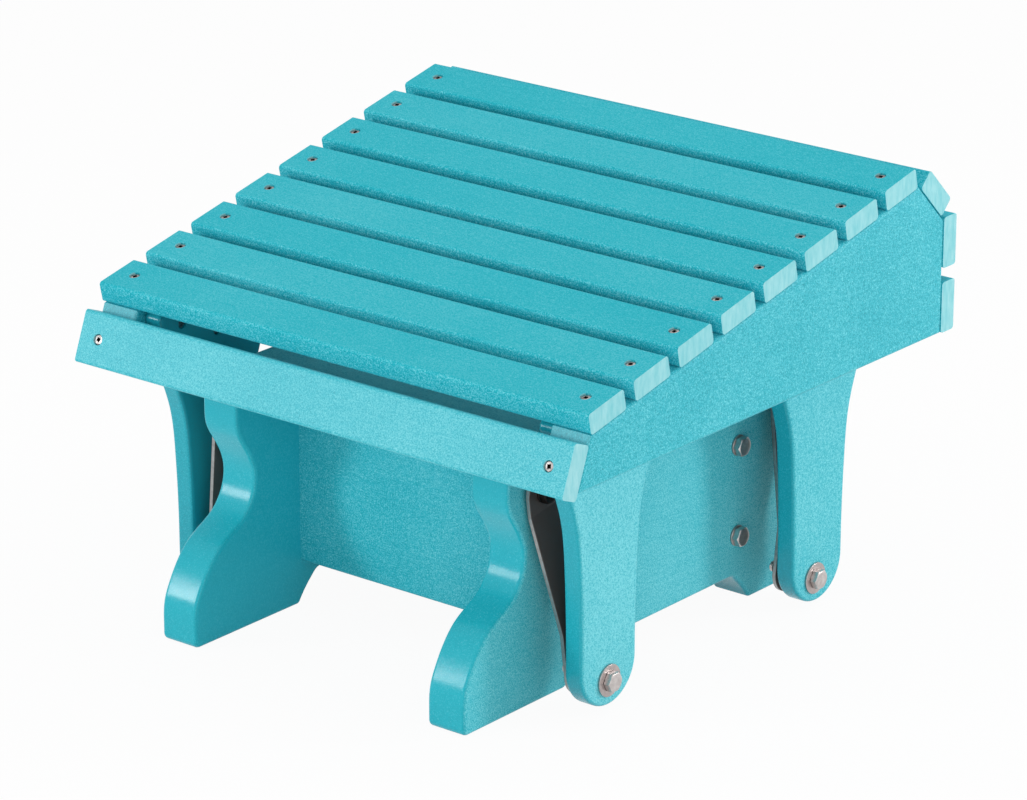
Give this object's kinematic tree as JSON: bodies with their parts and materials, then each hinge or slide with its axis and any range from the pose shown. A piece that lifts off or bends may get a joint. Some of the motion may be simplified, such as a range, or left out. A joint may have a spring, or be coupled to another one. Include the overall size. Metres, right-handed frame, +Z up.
{
  "type": "glider ottoman",
  "caption": "Footstool of recycled-plastic boards, with a sloping slatted seat on four legs that hang from steel swing links, over a low base of two curved end panels.",
  "frame": {"origin": "on the floor, in the middle of the footprint's bounding box", "axes": "+X to the right side, +Y to the higher back edge, +Z up"},
  "size_m": [0.5334, 0.5554, 0.3898],
  "materials": {
    "lumber": "satin, fine grain",
    "link_steel": "satin",
    "hardware_steel": "plain",
    "black_steel": "black oxide",
    "bush_nylon": "moulded"
  },
  "bodies": {
    "base": {"base_panel_left": "lumber", "base_panel_right": "lumber", "base_stretcher_front": "lumber", "base_stretcher_rear": "lumber", "base_top_board_front": "lumber", "base_top_board_rear": "lumber", "stretcher_bolts": "hardware_steel", "stretcher_washers": "hardware_steel", "stretcher_barrel_nuts": "hardware_steel", "top_board_screws": "hardware_steel", "upper_pivot_bolts": "black_steel", "upper_pivot_washers": "black_steel", "upper_pivot_inserts": "hardware_steel", "upper_pivot_spacers": "hardware_steel"},
    "seat": {"seat_rail_left": "lumber", "seat_rail_right": "lumber", "front_apron": "lumber", "top_slat_1": "lumber", "top_slat_2": "lumber", "top_slat_3": "lumber", "top_slat_4": "lumber", "top_slat_5": "lumber", "top_slat_6": "lumber", "top_slat_7": "lumber", "top_slat_8": "lumber", "chamfer_slat": "lumber", "back_slat_1": "lumber", "back_slat_2": "lumber", "hanger_leg_front_left": "lumber", "hanger_leg_front_right": "lumber", "hanger_leg_rear_left": "lumber", "hanger_leg_rear_right": "lumber", "slat_screws": "hardware_steel", "leg_screws": "hardware_steel", "lower_pivot_bolts": "hardware_steel", "lower_pivot_washers": "hardware_steel", "lower_pivot_nuts": "hardware_steel", "lower_pivot_spacers": "hardware_steel"},
    "link_front_left": {"link_front_left": "link_steel", "link_front_left_bushes": "bush_nylon"},
    "link_front_right": {"link_front_right": "link_steel", "link_front_right_bushes": "bush_nylon"},
    "link_rear_left": {"link_rear_left": "link_steel", "link_rear_left_bushes": "bush_nylon"},
    "link_rear_right": {"link_rear_right": "link_steel", "link_rear_right_bushes": "bush_nylon"}
  },
  "joints": [
    {"name": "link_front_right_hinge", "type": "hinge", "parent": "base", "child": "link_front_right", "pos_m": [0.1743, -0.1836, 0.19], "axis": [1, 0, 0], "range_deg": [-10, 10]},
    {"name": "link_front_left_hinge", "type": "hinge", "parent": "base", "child": "link_front_left", "pos_m": [-0.1743, -0.1836, 0.19], "axis": [1, 0, 0], "range_deg": [-10, 10]},
    {"name": "link_rear_left_hinge", "type": "hinge", "parent": "base", "child": "link_rear_left", "pos_m": [-0.1743, 0.1576, 0.19], "axis": [1, 0, 0], "range_deg": [-10, 10]},
    {"name": "link_rear_right_hinge", "type": "hinge", "parent": "base", "child": "link_rear_right", "pos_m": [0.1743, 0.1576, 0.19], "axis": [1, 0, 0], "range_deg": [-10, 10]},
    {"name": "seat_hinge", "type": "hinge", "parent": "link_front_right", "child": "seat", "pos_m": [0.196, -0.1595, 0.028], "axis": [1, 0, 0], "range_deg": [-12, 12]}
  ],
  "couplings": [
    {"joint": "link_front_left_hinge", "follows": "link_front_right_hinge", "ratio": 1},
    {"joint": "link_rear_left_hinge", "follows": "link_front_right_hinge", "ratio": 1},
    {"joint": "link_rear_right_hinge", "follows": "link_front_right_hinge", "ratio": 1},
    {"joint": "seat_hinge", "follows": "link_front_right_hinge", "ratio": -1.163}
  ]
}
